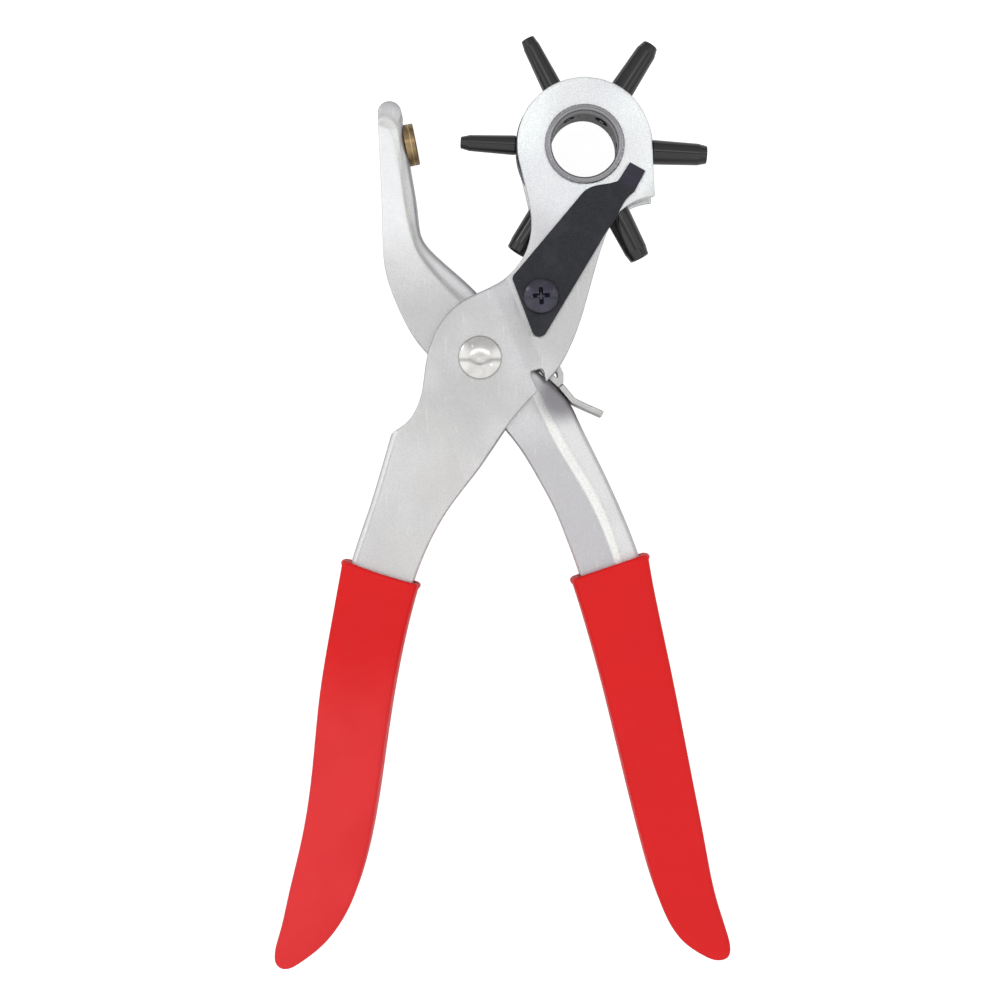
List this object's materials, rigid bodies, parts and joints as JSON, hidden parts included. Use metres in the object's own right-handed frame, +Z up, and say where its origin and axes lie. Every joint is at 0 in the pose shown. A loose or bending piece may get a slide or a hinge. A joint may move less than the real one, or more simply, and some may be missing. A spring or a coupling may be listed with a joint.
{
  "type": "rotary hole punch",
  "caption": "Revolving leather punch: two folded steel levers with red slip-on grips, a turning wheel of cutting tubes, a brass anvil, a leaf latch and a handle catch.",
  "frame": {"origin": "on the main pivot's axis, at the flat face of the rivet's back head, where the tool lies on a bench", "axes": "+Z up through the thickness, +Y along the tool toward the punch wheel, +X to the side the lock lever's tab points to"},
  "size_m": [0.1124, 0.2316, 0.0195],
  "materials": {
    "lever_steel": "satin zinc plate, fine grain",
    "grip_plastic": "dipped red plastic, satin gloss",
    "rivet_steel": "bright plated",
    "plain_steel": "plain",
    "spring_steel": "oiled spring wire",
    "wheel_black": "black oxide",
    "hub_steel": "turned steel",
    "tube_black": "black oxide, satin",
    "latch_black": "matte black",
    "screw_black": "blue-black, glossy",
    "anvil_brass": "turned brass",
    "catch_steel": "zinc plate"
  },
  "bodies": {
    "punch_side": {"punch_lever": "lever_steel", "punch_lever_grip": "grip_plastic", "pivot_rivet": "rivet_steel", "opening_spring": "spring_steel", "latch_screw": "screw_black", "neck_spacer": "plain_steel", "lock_pin": "plain_steel"},
    "anvil_arm": {"anvil_lever": "lever_steel", "anvil_lever_grip": "grip_plastic", "anvil": "anvil_brass", "pivot_bush": "plain_steel"},
    "wheel": {"punch_wheel": "wheel_black", "wheel_hub_tube": "hub_steel", "punch_tube_2_0": "tube_black", "punch_tube_2_5": "tube_black", "punch_tube_3_0": "tube_black", "punch_tube_3_5": "tube_black", "punch_tube_4_0": "tube_black", "punch_tube_4_5": "tube_black"},
    "latch": {"index_latch": "latch_black"},
    "lock": {"lock_lever": "catch_steel"}
  },
  "joints": [
    {"name": "handle_pivot", "type": "hinge", "parent": "punch_side", "child": "anvil_arm", "pos_m": [0, 0, 0.0095], "axis": [0, 0, -1], "range_deg": [0, 11], "stiffness_Nm_per_rad": 1.2, "springref_deg": -14.32, "deforming": ["opening_spring"]},
    {"name": "wheel_spin", "type": "hinge", "parent": "punch_side", "child": "wheel", "pos_m": [0.0258, 0.0528, 0.0095], "axis": [0, 0, 1], "continuous": true},
    {"name": "latch_lift", "type": "hinge", "parent": "punch_side", "child": "latch", "pos_m": [0.012, 0.0111, 0.01585], "axis": [0.8013, -0.5982, 0], "range_deg": [0, 1.2], "stiffness_Nm_per_rad": 2, "springref_deg": -2.86},
    {"name": "lock_swing", "type": "hinge", "parent": "punch_side", "child": "lock", "pos_m": [0.0169, -0.0014, 0.0095], "axis": [0, 0, 1], "range_deg": [0, 35]}
  ]
}
